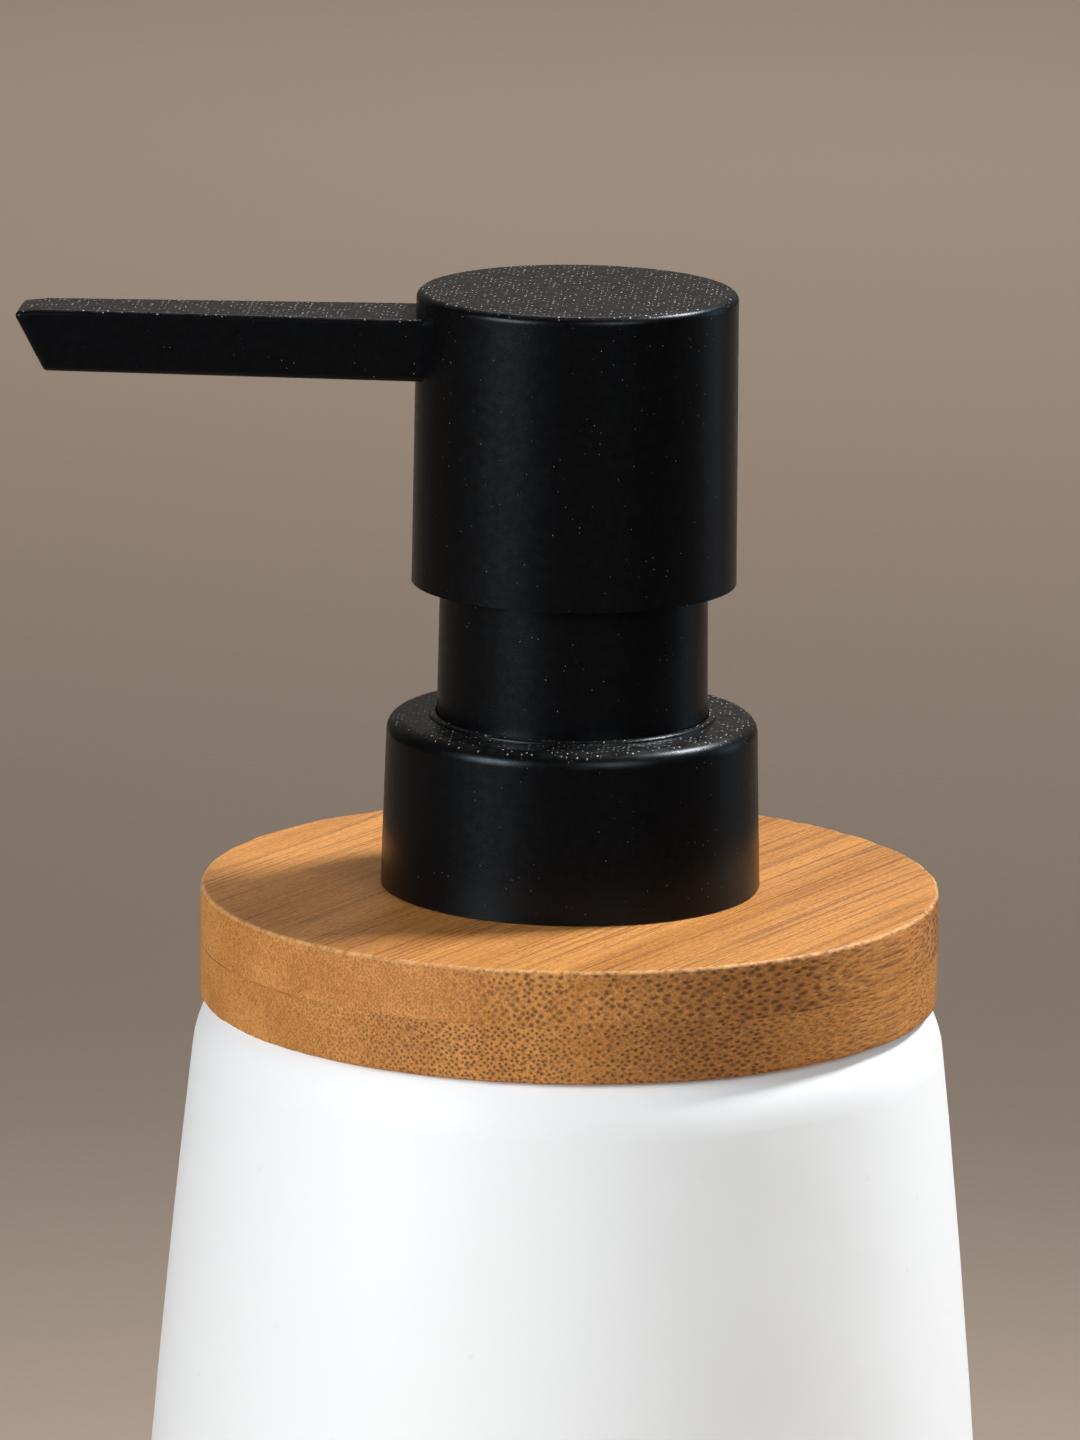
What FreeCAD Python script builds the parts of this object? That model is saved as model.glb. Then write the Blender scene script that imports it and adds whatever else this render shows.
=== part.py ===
"""Ceramic soap pump dispenser: a tapered jar, a laminated bamboo lid and a shelled lotion pump.

Everything is in millimetres.  +Z is up and the origin is the centre of the face the jar stands on.
The spout points along -X.  The driving dimensions are plain numbers in the Sizes sheet, the levels
in LEVELS are worked out from them, and every sub-part is bound to the sheet by expressions.
"""
import FreeCAD, Part
import math
import os
import re

import Sketcher

Vector = FreeCAD.Vector

# Driving dimensions: plain numbers that go into the sheet under these aliases.
SIZES = {
    # jar
    "pad_radius": 33.0, "pad_thickness": 1.5, "foot_level": 0.6, "foot_radius": 35.8,
    "foot_round": 3.4, "jar_floor": 6.0, "belly_radius": 39.2, "belly_level": 4.0,
    "belly_curve": 1250.0, "shoulder_radius": 31.98, "shoulder_drop": 4.6, "shoulder_curve": 9.0,
    "rim_radius": 30.2, "rim_level": 114.4, "mouth_radius": 26.0, "mouth_depth": 9.4,
    "inner_top_radius": 28.4, "inner_top_drop": 15.4, "inner_low_radius": 35.0,
    "inner_low_level": 12.0, "inner_round": 6.0, "mouth_edge": 0.8,
    # lid
    "lid_radius": 31.35, "ply_thickness": 4.8, "plug_radius": 24.6, "plug_depth": 6.0,
    "lid_hole_radius": 13.8, "groove_radius": 23.2, "groove_drop": 1.6, "groove_width": 2.6,
    "gasket_radius": 24.75, "lip_radius": 25.9, "lip_tip": 0.2, "lip_slope": 0.55,
    "lip_spacing": 1.4, "lid_edge": 0.25,
    # threaded neck, 28 mm closure with one and a quarter turns
    "neck_radius": 12.5, "neck_bore": 10.4, "neck_height": 9.9, "bush_flange_radius": 17.0,
    "bush_flange": 1.5, "thread_pitch": 4.2333, "thread_turns": 1.25, "thread_radius": 13.55,
    "thread_start": 3.0, "thread_base": 1.1, "thread_crest": 0.5, "thread_root": 0.3,
    "neck_recess": 0.3,
    # pump core
    "washer_thickness": 1.0, "washer_gap": 0.3, "flange_radius": 12.4, "flange_thickness": 1.2,
    "barrel_radius": 8.4, "barrel_bore": 7.0, "barrel_floor": 30.5, "barrel_taper": 1.0,
    "valve_radius": 5.4, "valve_taper": 3.0, "chamber_radius": 3.2, "seat_drop": 3.7,
    "inlet_radius": 1.6, "seat_depth": 1.6, "inlet_length": 1.0, "socket_radius": 4.3,
    "socket_depth": 8.0, "tube_radius": 3.0, "tube_bore": 2.1, "tube_gap": 3.0,
    "tube_slack": 0.1, "tube_bevel": 4.0, "bevel_margin": 0.5, "vent_radius": 0.5,
    "vent_drop": 5.1,
    "guide_bore": 3.56, "guide_radius": 6.0, "guide_rise": 2.0, "guide_flange_radius": 10.4,
    "guide_flange": 1.0, "guide_skirt_radius": 6.95, "guide_recess": 5.2, "guide_foot": 4.0,
    "guide_roof": 0.8, "cage_thickness": 1.0, "cage_hole": 1.6, "cage_port": 0.6,
    "cage_port_circle": 2.6, "ball_radius": 2.4, "ball_clearance": 0.05,
    "wire_radius": 0.5, "spring_radius": 4.9, "spring_pitch": 3.0,
    # closure
    "collar_gap": 0.15, "collar_foot_radius": 16.1, "collar_top_radius": 15.68,
    "collar_height": 14.6, "collar_round": 1.3, "shell_wall": 0.7, "bead_radius": 12.15,
    "bead_height": 0.3, "bead_hole": 11.6, "insert_radius": 14.9, "insert_bore": 13.85,
    "insert_foot": 0.6, "clamp_gap": 0.1, "clamp_thickness": 1.0, "clamp_bore": 10.7,
    "insert_rim": 13.1, "insert_chamfer": 0.7, "insert_crest": 12.8,
    "sleeve_foot_radius": 13.0, "sleeve_low_radius": 11.48, "sleeve_top_radius": 11.27,
    "sleeve_bore": 10.75, "sleeve_showing": 11.6, "sleeve_overlap": 3.1, "sleeve_edge": 0.2,
    # head
    "head_foot_radius": 13.72, "head_top_radius": 13.51, "head_height": 24.8,
    "head_round": 0.7, "core_radius": 12.75, "core_bore": 12.1, "core_foot": 0.8,
    "core_roof": 1.3, "boss_radius": 6.0, "boss_foot": 2.1, "socket_roof": 17.9,
    "riser_radius": 1.8, "riser_top": 1.5, "spout_rise": 17.45, "spout_height": 5.25,
    "spout_root": 6.0, "spout_root_half": 4.8, "spout_tip": 47.3, "spout_tip_half": 2.98,
    "spout_toe": 44.6, "spout_droop": 0.25, "spout_droop_length": 2.5, "spout_edge": 0.45,
    "spout_wall": 0.7, "spout_bore": 1.3, "spigot_radius": 2.2, "spigot_length": 2.4,
    "liner_recess": 1.2, "slot_half": 4.9, "slot_gap": 0.1, "window_half": 4.6,
    "window_gap": 0.05, "cross_bore": 1.6,
    # stem and piston
    "stem_radius": 3.5, "stem_bore": 1.6, "stem_socket": 2.2, "stem_ring_radius": 4.4,
    "stem_ring": 0.8, "stem_gap": 0.1, "cup_radius": 2.75, "cup_seat": 5.4,
    "piston_radius": 6.95, "piston_waist": 6.6, "piston_height": 9.0, "piston_wall": 6.1,
    "piston_gap": 0.1, "piston_lip": 0.8, "piston_flare": 1.0, "hub_radius": 4.7, "hub_bore": 3.55,
    "hub_drop": 0.9, "hub_length": 6.1, "web_half": 0.8, "web_drop": 3.9,
    "core_flange_radius": 5.8, "core_flange": 1.4, "core_nose_radius": 3.4, "core_nose": 3.4,
    "core_bore_radius": 1.3, "core_shank": 5.2,
}

# Levels and radii worked out from the driving dimensions.
LEVELS = {
    "lid_top": "rim_level + 2 * ply_thickness",
    "plug_bottom": "rim_level - plug_depth",
    "neck_top": "lid_top + neck_height",
    "washer_top": "neck_top + washer_thickness",
    "flange_top": "washer_top + flange_thickness",
    "clamp_bottom": "flange_top + clamp_gap",
    "clamp_top": "clamp_bottom + clamp_thickness",
    "collar_top": "lid_top + collar_height",
    "collar_roof": "collar_top - shell_wall",
    "guide_top": "collar_top + guide_rise",
    "guide_bottom": "lid_top + guide_foot",
    "cage_bottom": "lid_top - barrel_floor",
    "cage_top": "cage_bottom + cage_thickness",
    "seat_top": "cage_bottom - seat_drop",
    "seat_bottom": "seat_top - seat_depth",
    "socket_top": "seat_bottom - inlet_length",
    "socket_bottom": "socket_top - socket_depth",
    "head_bottom": "collar_top + sleeve_showing",
    "head_top": "head_bottom + head_height",
    "head_roof": "head_top - shell_wall",
    "core_ceiling": "head_roof - core_roof",
    "sleeve_top": "head_bottom + sleeve_overlap",
    "boss_bottom": "head_bottom + boss_foot",
    "stem_roof": "head_bottom + socket_roof",
    "stem_top": "stem_roof - stem_gap",
    "cup_bottom": "stem_top - cup_seat",
    "spout_bottom": "head_bottom + spout_rise",
    "spout_top": "spout_bottom + spout_height",
    "spout_centre": "spout_bottom + spout_height / 2",
    "piston_top": "guide_bottom - piston_gap",
    "piston_bottom": "piston_top - piston_height",
    "hub_top": "piston_top - hub_drop",
    "hub_bottom": "hub_top - hub_length",
    "web_level": "piston_top - web_drop + web_half",
    "stem_bottom": "hub_bottom - stem_gap",
    "core_bottom": "stem_bottom - core_flange",
    "spring_bottom": "cage_top + wire_radius",
    "spring_top": "core_bottom - wire_radius - ball_clearance",
}


def expand(text):
    """Turn a formula in plain names into an expression on the sheet."""
    def replace(match):
        name = match.group()
        if name in LEVELS:
            return "(" + expand(LEVELS[name]) + ")"
        return "Sizes." + name if name in SIZES else name
    return re.sub(r"[a-z][a-z_]*", replace, text)


def value(text):
    """The number that a formula in plain names stands for."""
    return float(sheet.evalExpression(expand(text)))


def bind(thing, path, text):
    """Bind one property of an object to the sheet."""
    thing.setExpression(path, expand(text))


def make_sheet(document):
    """Put the driving dimensions in a spreadsheet, one row for each alias."""
    made = document.addObject("Spreadsheet::Sheet", "Sizes")
    for row, (alias, number) in enumerate(SIZES.items(), start=1):
        made.set("A%d" % row, alias.replace("_", " "))
        made.set("B%d" % row, str(number))
        made.setAlias("B%d" % row, alias)
    document.recompute()
    return made


def origin_item(body, role):
    """The plane or axis of a body's origin that has a role."""
    return next(item for item in body.Origin.OriginFeatures if item.Role == role)


def new_body(label):
    """An empty body with its own label."""
    body = doc.addObject("PartDesign::Body", label)
    body.Label = label
    return body


def arc_between(start, end, radius):
    """An arc from start to end; a positive radius turns left on the way, a negative one right."""
    chord = end - start
    middle = (start + end) * 0.5
    height = math.sqrt(radius ** 2 - (chord.Length / 2) ** 2)
    left = Vector(-chord.y, chord.x, 0).normalize()
    centre = middle + left * math.copysign(height, radius)
    circle = Part.Circle(centre, Vector(0, 0, 1), abs(radius))
    first, last = (start, end) if radius > 0 else (end, start)
    return Part.ArcOfCircle(circle, circle.parameter(first), circle.parameter(last))


def draw(body, role, outline, level=None):
    """A closed sketch on one of the body's own planes.

    Each corner is (across, up) or (across, up, radius): a radius bends the edge to the next corner.
    """
    sketch = body.newObject("Sketcher::SketchObject", body.Label + "_outline")
    sketch.AttachmentSupport = [(origin_item(body, role), "")]
    sketch.MapMode = "FlatFace"
    if level:
        bind(sketch, "AttachmentOffset.Base.z", level)
    corners = [Vector(value(corner[0]), value(corner[1]), 0) for corner in outline]
    starts = []
    for index, corner in enumerate(outline):
        start, end = corners[index], corners[(index + 1) % len(corners)]
        if len(corner) == 3:
            radius = value(corner[2])
            edge = sketch.addGeometry(arc_between(start, end, radius))
            starts.append((edge, 1, 2) if radius > 0 else (edge, 2, 1))
        else:
            edge = sketch.addGeometry(Part.LineSegment(start, end))
            starts.append((edge, 1, 2))
    for index, (edge, first, last) in enumerate(starts):
        following, next_first, _ = starts[(index + 1) % len(starts)]
        sketch.addConstraint(Sketcher.Constraint("Coincident", edge, last, following, next_first))
        for kind, text, size in (("DistanceX", outline[index][0], corners[index].x),
                                 ("DistanceY", outline[index][1], corners[index].y)):
            rule = sketch.addConstraint(Sketcher.Constraint(kind, -1, 1, edge, first, size))
            bind(sketch, "Constraints[%d]" % rule, text)
        if len(outline[index]) == 3:
            radius = outline[index][2].lstrip("-")
            rule = sketch.addConstraint(Sketcher.Constraint("Radius", edge, value(radius)))
            bind(sketch, "Constraints[%d]" % rule, radius)
    return sketch


def draw_circle(body, role, across, up, radius, level=None):
    """A sketch of one circle on one of the body's own planes."""
    sketch = body.newObject("Sketcher::SketchObject", body.Label + "_circle")
    sketch.AttachmentSupport = [(origin_item(body, role), "")]
    sketch.MapMode = "FlatFace"
    if level:
        bind(sketch, "AttachmentOffset.Base.z", level)
    centre = Vector(value(across), value(up), 0)
    circle = sketch.addGeometry(Part.Circle(centre, Vector(0, 0, 1), value(radius)))
    rules = (("DistanceX", (-1, 1, circle, 3, centre.x), across),
             ("DistanceY", (-1, 1, circle, 3, centre.y), up),
             ("Radius", (circle, value(radius)), radius))
    for kind, arguments, text in rules:
        rule = sketch.addConstraint(Sketcher.Constraint(kind, *arguments))
        bind(sketch, "Constraints[%d]" % rule, text)
    return sketch


def turned(label, outline):
    """A body turned about Z from an outline of (radius, level) corners."""
    body = new_body(label)
    sketch = draw(body, "XZ_Plane", outline)
    spin = body.newObject("PartDesign::Revolution", label + "_turning")
    spin.Profile = sketch
    spin.ReferenceAxis = (sketch, ["V_Axis"])
    spin.Angle = 360
    doc.recompute()
    return body


def raise_pad(body, sketch, length):
    """Pad a sketch upward."""
    pad = body.newObject("PartDesign::Pad", body.Label + "_pad")
    pad.Profile = sketch
    bind(pad, "Length", length)
    doc.recompute()
    return pad


def cut(body, sketch, length, way="back"):
    """Pocket a sketch: back from its plane, forward of it, or both ways."""
    before = body.Shape.Volume
    pocket = body.newObject("PartDesign::Pocket", body.Label + "_pocket")
    pocket.Profile = sketch
    pocket.SideType = "Symmetric" if way == "both" else "One side"
    pocket.Reversed = way == "forward"
    bind(pocket, "Length", length)
    doc.recompute()
    if before - body.Shape.Volume < 1e-6:
        raise RuntimeError("a pocket of %s cuts nothing" % body.Label)
    return pocket


def soften(body, radius, wanted):
    """Fillet the edges that a test picks."""
    tip = body.Tip
    names = ["Edge%d" % number for number, edge in enumerate(tip.Shape.Edges, start=1) if wanted(edge)]
    if not names:
        raise RuntimeError("no edge of %s to soften" % body.Label)
    fillet = body.newObject("PartDesign::Fillet", body.Label + "_edge")
    fillet.Base = (tip, names)
    bind(fillet, "Radius", radius)
    doc.recompute()


def ring_edge(radius, level):
    """A test for the round edge about Z at one radius and level."""
    wide, high = value(radius), value(level)

    def wanted(edge):
        curve = edge.Curve
        return (isinstance(curve, Part.Circle) and abs(curve.Radius - wide) < 0.01
                and abs(curve.Center.z - high) < 0.01 and abs(abs(curve.Axis.z) - 1) < 1e-6)
    return wanted


def add_thread(body, role, outline):
    """A right-hand helical ridge of the closure's pitch, starting in one of the body's planes."""
    sketch = draw(body, role, outline)
    ridge = body.newObject("PartDesign::AdditiveHelix", body.Label + "_thread")
    ridge.Profile = sketch
    ridge.ReferenceAxis = (sketch, ["V_Axis"])
    ridge.Mode = "pitch-turns-angle"
    bind(ridge, "Pitch", "thread_pitch")
    bind(ridge, "Turns", "thread_turns")
    doc.recompute()


def make_ball(label, apex):
    """A steel ball that rests in a 45 degree conical seat, whose cone would meet at the apex level."""
    ball = doc.addObject("Part::Sphere", label)
    ball.Label = label
    bind(ball, "Radius", "ball_radius")
    bind(ball, "Placement.Base.z", apex + " + ball_radius * sqrt(2) + ball_clearance")


def make_jar():
    """The ceramic jar: a slightly convex cone with a wide mouth and a recess for the foot pad."""
    outline = [
        ("0", "pad_thickness"), ("pad_radius", "pad_thickness"), ("pad_radius", "foot_level"),
        ("foot_radius", "foot_level", "foot_round"), ("belly_radius", "belly_level", "belly_curve"),
        ("shoulder_radius", "rim_level - shoulder_drop", "shoulder_curve"),
        ("rim_radius", "rim_level"), ("mouth_radius", "rim_level"),
        ("mouth_radius", "rim_level - mouth_depth"),
        ("inner_top_radius", "rim_level - inner_top_drop", "-belly_curve"),
        ("inner_low_radius", "inner_low_level", "-inner_round"),
        ("inner_low_radius - inner_round", "jar_floor"), ("0", "jar_floor")]
    jar = turned("ceramic_body", outline)
    soften(jar, "mouth_edge", ring_edge("mouth_radius", "rim_level"))


def make_foot_pad():
    """The soft round pad that the jar stands on."""
    turned("base_pad", [("0", "0"), ("pad_radius", "0"), ("pad_radius", "pad_thickness"),
                        ("0", "pad_thickness")])


def make_lid():
    """Two bamboo plies that show, the plug ply in the mouth, and its sealing ring."""
    for label, layer in (("lid_lower_ply", "0"), ("lid_upper_ply", "ply_thickness")):
        bottom = "rim_level + " + layer
        top = bottom + " + ply_thickness"
        ply = turned(label, [("lid_hole_radius", bottom), ("lid_radius", bottom),
                             ("lid_radius", top), ("lid_hole_radius", top)])
        edge = bottom if label == "lid_lower_ply" else top
        soften(ply, "lid_edge", ring_edge("lid_radius", edge))
    groove_top = "rim_level - groove_drop"
    groove_bottom = groove_top + " - groove_width"
    turned("lid_plug", [
        ("lid_hole_radius", "plug_bottom"), ("plug_radius", "plug_bottom"),
        ("plug_radius", groove_bottom), ("groove_radius", groove_bottom),
        ("groove_radius", groove_top), ("plug_radius", groove_top), ("plug_radius", "rim_level"),
        ("lid_hole_radius", "rim_level")])
    outline = [("groove_radius", groove_bottom)]
    for lip in range(2):
        low = groove_bottom + " + %d * lip_spacing" % lip
        outline += [("gasket_radius", low), ("lip_radius", low + " + lip_slope"),
                    ("lip_radius", low + " + lip_slope + lip_tip"),
                    ("gasket_radius", low + " + 2 * lip_slope")]
    outline += [("gasket_radius", groove_top), ("groove_radius", groove_top)]
    turned("lid_gasket", outline)


def make_neck():
    """The threaded plastic bush, bonded in the lid from below, and the washer on its top."""
    bush = turned("neck_bush", [
        ("neck_bore", "plug_bottom - bush_flange"), ("bush_flange_radius", "plug_bottom - bush_flange"),
        ("bush_flange_radius", "plug_bottom"), ("lid_hole_radius", "plug_bottom"),
        ("lid_hole_radius", "lid_top - neck_recess"), ("neck_radius", "lid_top - neck_recess"),
        ("neck_radius", "neck_top"), ("neck_bore", "neck_top")])
    middle = "lid_top + thread_start"
    add_thread(bush, "XZ_Plane", [
        ("neck_radius - thread_root", middle + " - thread_base"),
        ("thread_radius", middle + " - thread_crest"), ("thread_radius", middle + " + thread_crest"),
        ("neck_radius - thread_root", middle + " + thread_base")])
    turned("neck_washer", [
        ("barrel_radius + washer_gap", "neck_top"), ("flange_radius", "neck_top"),
        ("flange_radius", "washer_top"), ("barrel_radius + washer_gap", "washer_top")])


def make_pump_core():
    """The pump barrel with the parts that stay still in it: guide, ball cage, dip tube, spring."""
    barrel = turned("pump_housing", [
        ("barrel_bore", "flange_top"), ("flange_radius", "flange_top"),
        ("flange_radius", "washer_top"), ("barrel_radius", "washer_top"),
        ("barrel_radius", "cage_bottom - barrel_taper"),
        ("valve_radius", "cage_bottom - valve_taper"), ("valve_radius", "seat_bottom"),
        ("socket_radius", "socket_top"), ("socket_radius", "socket_bottom"),
        ("tube_radius", "socket_bottom"), ("tube_radius", "socket_top"),
        ("inlet_radius", "socket_top"), ("inlet_radius", "seat_bottom"),
        ("chamber_radius", "seat_top"), ("chamber_radius", "cage_bottom"),
        ("barrel_bore", "cage_bottom")])
    cut(barrel, draw_circle(barrel, "YZ_Plane", "0", "flange_top - vent_drop", "vent_radius"),
        "flange_radius")
    turned("stem_guide", [
        ("guide_bore", "guide_top"), ("guide_radius", "guide_top"),
        ("guide_radius", "flange_top + guide_flange"),
        ("guide_flange_radius", "flange_top + guide_flange"), ("guide_flange_radius", "flange_top"),
        ("guide_skirt_radius", "flange_top"), ("guide_skirt_radius", "guide_bottom"),
        ("guide_recess", "guide_bottom"), ("guide_recess", "flange_top - guide_roof"),
        ("guide_bore", "flange_top - guide_roof")])
    cage = turned("ball_cage", [
        ("cage_hole", "cage_bottom"), ("guide_skirt_radius", "cage_bottom"),
        ("guide_skirt_radius", "cage_top"), ("cage_hole", "cage_top")])
    port = cut(cage, draw_circle(cage, "XY_Plane", "cage_port_circle", "0", "cage_port", "cage_top"),
               "cage_thickness")
    ports = cage.newObject("PartDesign::PolarPattern", "ball_cage_ports")
    ports.Originals = [port]
    ports.Axis = (origin_item(cage, "Z_Axis"), [""])
    ports.Angle = 360
    ports.Occurrences = 4
    cage.Tip = ports
    tube_top = "socket_top - tube_slack"
    tube_end = "jar_floor + tube_gap"
    tube = turned("dip_tube", [("tube_bore", tube_end), ("tube_radius", tube_end),
                               ("tube_radius", tube_top), ("tube_bore", tube_top)])
    cut(tube, draw(tube, "XZ_Plane", [
        ("-tube_radius - bevel_margin", tube_end + " - bevel_margin"),
        ("tube_radius + bevel_margin", tube_end + " - bevel_margin"),
        ("tube_radius + bevel_margin", tube_end + " + tube_bevel")]), "4 * tube_radius", "both")
    make_spring()
    make_ball("inlet_ball", "seat_bottom - inlet_radius")


def make_spring():
    """The return spring: round wire wound in a helix between the cage and the valve core."""
    spring = new_body("return_spring")
    wire = draw_circle(spring, "XZ_Plane", "spring_radius", "spring_bottom", "wire_radius")
    coil = spring.newObject("PartDesign::AdditiveHelix", "return_spring_coil")
    coil.Profile = wire
    coil.ReferenceAxis = (wire, ["V_Axis"])
    coil.Mode = "pitch-height-angle"
    bind(coil, "Pitch", "spring_pitch")
    bind(coil, "Height", "spring_top - spring_bottom")
    doc.recompute()


def make_closure():
    """The collar: outer shell, threaded insert and the fixed sleeve that the head slides over."""
    shell = turned("collar_shell", [
        ("collar_foot_radius - shell_wall", "lid_top + collar_gap"),
        ("collar_foot_radius", "lid_top + collar_gap"), ("collar_top_radius", "collar_top"),
        ("bead_radius", "collar_top", "bead_height"),
        ("bead_radius - bead_height", "collar_top + bead_height"),
        ("bead_hole", "collar_top + bead_height"), ("bead_hole", "collar_roof"),
        ("collar_top_radius - shell_wall", "collar_roof")])
    soften(shell, "collar_round", ring_edge("collar_top_radius", "collar_top"))
    insert = turned("collar_insert", [
        ("insert_bore", "lid_top + insert_foot"), ("insert_radius", "lid_top + insert_foot"),
        ("insert_radius", "collar_roof - insert_chamfer"),
        ("insert_radius - insert_chamfer", "collar_roof"), ("insert_rim", "collar_roof"),
        ("insert_rim", "clamp_top"), ("clamp_bore", "clamp_top"), ("clamp_bore", "clamp_bottom"),
        ("insert_bore", "clamp_bottom")])
    # Half a pitch below the neck's ridge, and a quarter turn further round.
    middle = "lid_top + thread_start - thread_pitch / 4"
    add_thread(insert, "YZ_Plane", [
        ("insert_crest", middle + " - thread_crest"),
        ("insert_bore + thread_root", middle + " - thread_base"),
        ("insert_bore + thread_root", middle + " + thread_base"),
        ("insert_crest", middle + " + thread_crest")])
    sleeve = turned("guide_sleeve", [
        ("sleeve_bore", "clamp_top"), ("sleeve_foot_radius", "clamp_top"),
        ("sleeve_foot_radius", "collar_roof"), ("sleeve_low_radius", "collar_roof"),
        ("sleeve_top_radius", "sleeve_top"), ("sleeve_bore", "sleeve_top")])
    soften(sleeve, "sleeve_edge", ring_edge("sleeve_top_radius", "sleeve_top"))


def make_piston():
    """The two-lipped piston seal."""
    web_top = "web_level"
    web_bottom = "web_level - 2 * web_half"
    turned("piston_seal", [
        ("hub_bore", "hub_bottom"), ("hub_radius", "hub_bottom"), ("hub_radius", web_bottom),
        ("piston_wall", web_bottom), ("piston_wall", "piston_bottom"),
        ("piston_radius", "piston_bottom"), ("piston_radius", "piston_bottom + piston_lip"),
        ("piston_waist", "piston_bottom + piston_lip + piston_flare"),
        ("piston_waist", "piston_top - piston_lip - piston_flare"),
        ("piston_radius", "piston_top - piston_lip"), ("piston_radius", "piston_top"),
        ("piston_wall", "piston_top"), ("piston_wall", web_top), ("hub_radius", web_top),
        ("hub_radius", "hub_top"), ("hub_bore", "hub_top")])


def make_stem():
    """The hollow stem with the outlet ball's cup, and the valve core that the spring pushes."""
    turned("stem", [
        ("stem_socket", "stem_bottom"), ("stem_radius", "stem_bottom"),
        ("stem_radius", "hub_top + stem_gap"), ("stem_ring_radius", "hub_top + stem_gap"),
        ("stem_ring_radius", "hub_top + stem_gap + stem_ring"),
        ("stem_radius", "hub_top + stem_gap + stem_ring"), ("stem_radius", "stem_top"),
        ("cup_radius", "stem_top"), ("cup_radius", "cup_bottom + cup_radius - stem_bore"),
        ("stem_bore", "cup_bottom"), ("stem_bore", "stem_bottom + core_shank"),
        ("stem_socket", "stem_bottom + core_shank")])
    turned("valve_core", [
        ("core_bore_radius", "core_bottom - core_nose"),
        ("core_nose_radius", "core_bottom - core_nose"), ("core_nose_radius", "core_bottom"),
        ("core_flange_radius", "core_bottom"), ("core_flange_radius", "stem_bottom"),
        ("stem_socket", "stem_bottom"), ("stem_socket", "stem_bottom + core_shank"),
        ("core_bore_radius", "stem_bottom + core_shank")])
    make_ball("outlet_ball", "cup_bottom - stem_bore")


def make_head():
    """The head: outer shell with a window for the spout, and the moulded core inside it."""
    shell = turned("head_shell", [
        ("0", "head_roof"), ("head_top_radius - shell_wall", "head_roof"),
        ("head_foot_radius - shell_wall", "head_bottom"), ("head_foot_radius", "head_bottom"),
        ("head_top_radius", "head_top"), ("0", "head_top")])
    soften(shell, "head_round", ring_edge("head_top_radius", "head_top"))
    cut(shell, draw(shell, "YZ_Plane", [
        ("-window_half", "spout_bottom - window_gap"), ("window_half", "spout_bottom - window_gap"),
        ("window_half", "spout_top + window_gap"), ("-window_half", "spout_top + window_gap")],
        "-spout_root"), "2 * spout_root")
    core = turned("head_core", [
        ("core_bore", "head_bottom + core_foot"), ("core_radius", "head_bottom + core_foot"),
        ("core_radius", "head_roof"), ("0", "head_roof"), ("0", "core_ceiling - riser_top"),
        ("riser_radius", "core_ceiling - riser_top"), ("riser_radius", "stem_roof"),
        ("stem_radius", "stem_roof"), ("stem_radius", "boss_bottom"), ("boss_radius", "boss_bottom"),
        ("boss_radius", "core_ceiling"), ("core_bore", "core_ceiling")])
    cut(core, draw(core, "YZ_Plane", [
        ("-slot_half", "spout_bottom - slot_gap"), ("slot_half", "spout_bottom - slot_gap"),
        ("slot_half", "core_ceiling"), ("-slot_half", "core_ceiling")],
        "-spout_root"), "2 * spout_root")
    cut(core, draw_circle(core, "YZ_Plane", "0", "spout_centre", "cross_bore"), "spout_root")
    cut(core, draw_circle(core, "YZ_Plane", "0", "spout_centre", "spigot_radius",
                          "spigot_length - spout_root"), "spigot_length")


def spout_plan(inset):
    """The tapered plan of the spout, drawn in from its faces by an inset."""
    return [("-spout_root", "-spout_root_half + " + inset), ("-spout_root", "spout_root_half - " + inset),
            ("-spout_tip", "spout_tip_half - " + inset), ("-spout_tip", "-spout_tip_half + " + inset)]


def spout_end(inset):
    """The side view of what the undercut end takes away, moved back along the spout by an inset."""
    beyond = "-spout_tip - spout_root"
    return [("-spout_toe + " + inset, "spout_bottom - spout_edge"),
            ("-spout_toe + " + inset, "spout_bottom"),
            ("-spout_tip + " + inset, "spout_top - spout_droop"),
            ("-spout_tip + spout_droop_length + " + inset, "spout_top"),
            ("-spout_tip + spout_droop_length + " + inset, "spout_top + spout_edge"),
            (beyond, "spout_top + spout_edge"),
            (beyond, "spout_bottom - spout_edge")]


def make_spout():
    """The spout's tapered sleeve and the liner that carries the soap."""
    spout = new_body("spout")
    raise_pad(spout, draw(spout, "XY_Plane", spout_plan("0"), "spout_bottom"), "spout_height")
    cut(spout, draw(spout, "XZ_Plane", spout_end("0")), "4 * spout_root_half", "both")
    root = -value("spout_root")

    def outside(edge):
        return edge.BoundBox.XMin < root - 0.01
    soften(spout, "spout_edge", outside)
    cut(spout, draw(spout, "XY_Plane", spout_plan("spout_wall"), "spout_bottom + spout_wall"),
        "spout_height - 2 * spout_wall", "forward")
    liner = new_body("spout_liner")
    raise_pad(liner, draw(liner, "XY_Plane", spout_plan("spout_wall"), "spout_bottom + spout_wall"),
              "spout_height - 2 * spout_wall")
    cut(liner, draw(liner, "XZ_Plane", spout_end("liner_recess")), "4 * spout_root_half", "both")
    spigot = raise_pad(liner, draw_circle(liner, "YZ_Plane", "0", "spout_centre", "spigot_radius",
                                          "-spout_root"), "spigot_length")
    if spigot.Shape.BoundBox.XMax < root + 0.01:
        raise RuntimeError("the liner's spigot points the wrong way")
    cut(liner, draw_circle(liner, "YZ_Plane", "0", "spout_centre", "spout_bore"), "spout_tip")


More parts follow.
